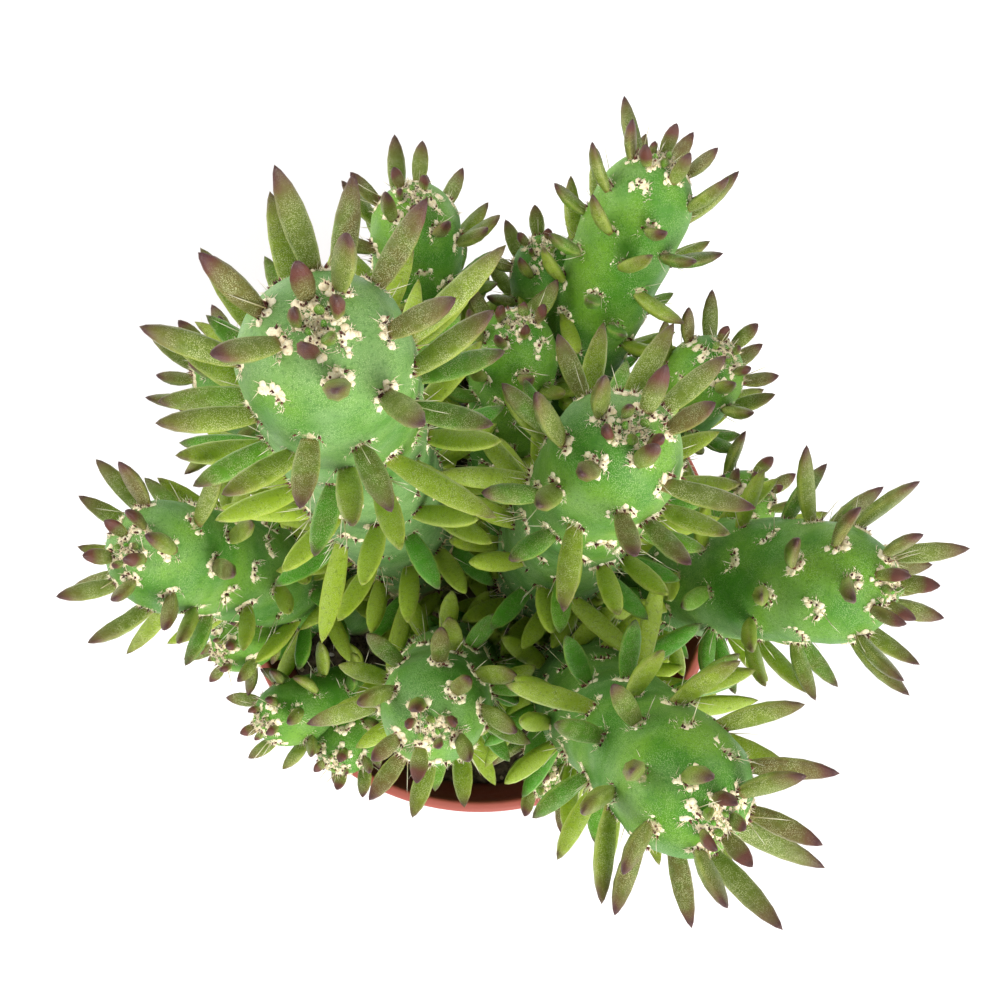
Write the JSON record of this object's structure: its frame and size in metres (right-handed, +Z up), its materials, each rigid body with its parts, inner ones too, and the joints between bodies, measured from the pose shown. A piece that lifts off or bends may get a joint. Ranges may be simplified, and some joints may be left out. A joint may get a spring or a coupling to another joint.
{
  "type": "potted eve's needle cactus",
  "caption": "Eve's needle cactus with leafy, spined upright and leaning stems in soil in a terracotta-coloured plastic nursery pot.",
  "frame": {"origin": "centre of the pot's foot, on the surface that it stands on", "axes": "+Z up along the pot's axis, -Y towards the side that is nearest the viewer in the picture, +X to the right"},
  "size_m": [0.1845, 0.1728, 0.3102],
  "materials": {
    "pot": "satin",
    "soil": "matte",
    "plant": "satin"
  },
  "bodies": {
    "root": {"pot": "pot", "soil": "soil", "stem_tallest": "plant", "stem_centre": "plant", "stem_right": "plant", "stem_front_right": "plant", "stem_front": "plant", "stem_left": "plant", "stem_back": "plant", "stem_back_right": "plant", "stem_middle_low": "plant", "stem_right_low": "plant", "stem_left_low": "plant", "stem_front_low": "plant"}
  },
  "joints": []
}
